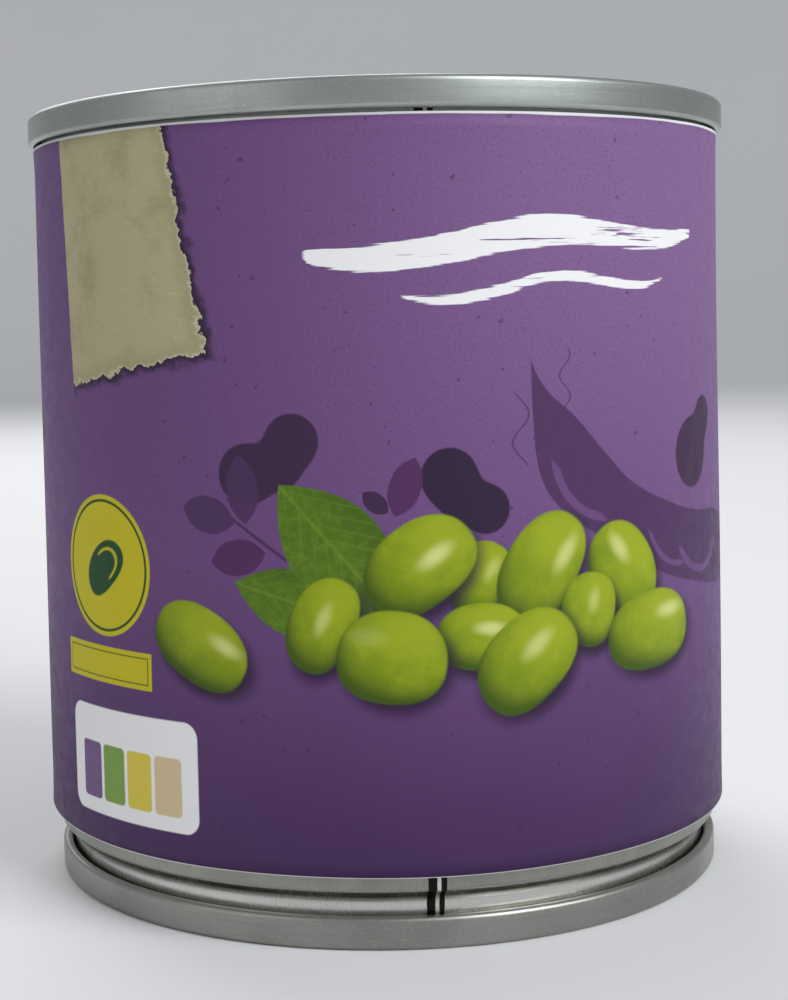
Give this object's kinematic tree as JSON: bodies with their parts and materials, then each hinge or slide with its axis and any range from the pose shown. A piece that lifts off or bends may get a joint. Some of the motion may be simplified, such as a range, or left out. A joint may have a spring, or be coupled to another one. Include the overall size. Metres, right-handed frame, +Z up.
{
  "type": "food can",
  "caption": "Round tinplate food can with a ring-pull lid, a necked stackable foot and a printed paper label, sealed and full.",
  "frame": {"origin": "middle of the ring that the can stands on, at floor level", "axes": "+Z up along the can's axis; -Y is the front of the label; the ring pull's nose points to -Y"},
  "size_m": [0.076, 0.076, 0.082],
  "materials": {
    "tinplate": "bright tin with a clear lacquer",
    "end_plate": "satin lacquered tin-free steel",
    "pull_metal": "bright rolled steel strip",
    "compound": "matt rubber lining",
    "paper": "printed and varnished label paper",
    "glue": "dried hot-melt glue",
    "beans": "cooked green soya beans in brine"
  },
  "bodies": {
    "can": {"can_body": "tinplate", "top_end": "end_plate", "bottom_end": "end_plate", "top_seam_compound": "compound", "bottom_seam_compound": "compound", "ring_tongue": "pull_metal", "paper_label": "paper", "label_lap_glue": "glue", "label_start_glue": "glue", "beans_in_brine": "beans"},
    "lifting_ring": {"pull_ring": "pull_metal"}
  },
  "joints": [
    {"name": "pull_ring_lift", "type": "hinge", "parent": "can", "child": "lifting_ring", "pos_m": [0, -0.0296, 0.0788], "axis": [1, 0, 0], "range_deg": [0, 25]}
  ]
}
